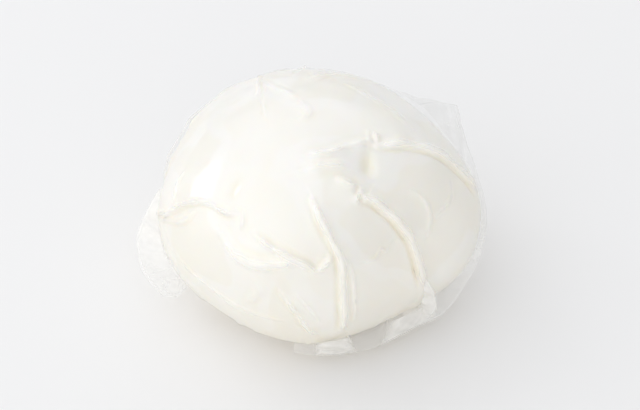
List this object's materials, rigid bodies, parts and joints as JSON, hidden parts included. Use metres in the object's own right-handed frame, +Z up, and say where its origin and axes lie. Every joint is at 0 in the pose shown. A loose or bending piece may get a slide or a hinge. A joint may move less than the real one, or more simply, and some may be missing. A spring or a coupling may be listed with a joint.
{
  "type": "ball of fresh cheese in clear film",
  "caption": "Soft white ball of fresh cheese, sagged into a low dome on a flat spot, sealed in a tight, creased clear film bag with folded corners.",
  "frame": {"origin": "on the surface it stands on, at the middle of the flat spot under the ball", "axes": "+Z up through the ball's crown, +X to its right and -Y to its front, where the film's hem folds under; the film's pointed ear is at the back right"},
  "size_m": [0.0916, 0.0811, 0.0609],
  "materials": {
    "cheese": "satin",
    "film": "gloss"
  },
  "bodies": {
    "root": {"cheese_ball": "cheese", "film_bag": "film"}
  },
  "joints": []
}
